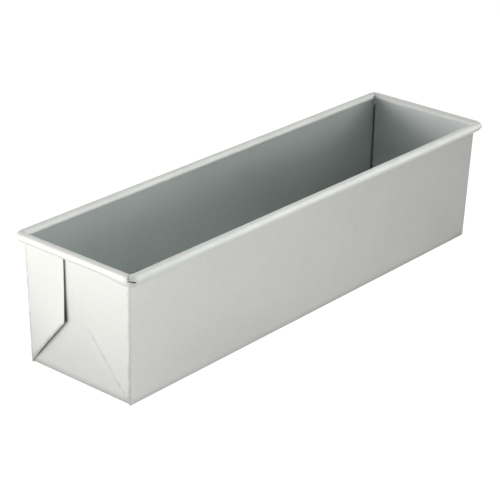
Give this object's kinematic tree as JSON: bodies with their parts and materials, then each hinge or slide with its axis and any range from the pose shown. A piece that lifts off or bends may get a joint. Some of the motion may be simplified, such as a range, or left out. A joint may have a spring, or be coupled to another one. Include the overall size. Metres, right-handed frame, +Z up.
{
  "type": "loaf pan",
  "caption": "Long open loaf pan folded from satin metal sheet, with tapered walls, corner flaps folded over the ends and a rolled rim round a wire frame.",
  "frame": {"origin": "middle of the floor's underside, on the surface the pan stands on", "axes": "+X along the pan, +Y across it, +Z up out of the mouth"},
  "size_m": [0.4192, 0.1144, 0.1016],
  "materials": {
    "aluminised_sheet": "satin, pale grey aluminised coating",
    "wire_steel": "dull drawn wire"
  },
  "bodies": {
    "root": {"floor_panel": "aluminised_sheet", "side_wall_front": "aluminised_sheet", "side_wall_back": "aluminised_sheet", "end_wall_left": "aluminised_sheet", "end_wall_right": "aluminised_sheet", "rim_curl_front": "aluminised_sheet", "rim_curl_back": "aluminised_sheet", "rim_curl_left": "aluminised_sheet", "rim_curl_right": "aluminised_sheet", "flap_outer_leaf_front_left": "aluminised_sheet", "flap_outer_leaf_front_right": "aluminised_sheet", "flap_outer_leaf_back_left": "aluminised_sheet", "flap_outer_leaf_back_right": "aluminised_sheet", "flap_inner_leaf_front_left": "aluminised_sheet", "flap_inner_leaf_front_right": "aluminised_sheet", "flap_inner_leaf_back_left": "aluminised_sheet", "flap_inner_leaf_back_right": "aluminised_sheet", "rim_corner_front_left": "aluminised_sheet", "rim_corner_front_right": "aluminised_sheet", "rim_corner_back_left": "aluminised_sheet", "rim_corner_back_right": "aluminised_sheet", "rim_wire": "wire_steel"}
  },
  "joints": []
}
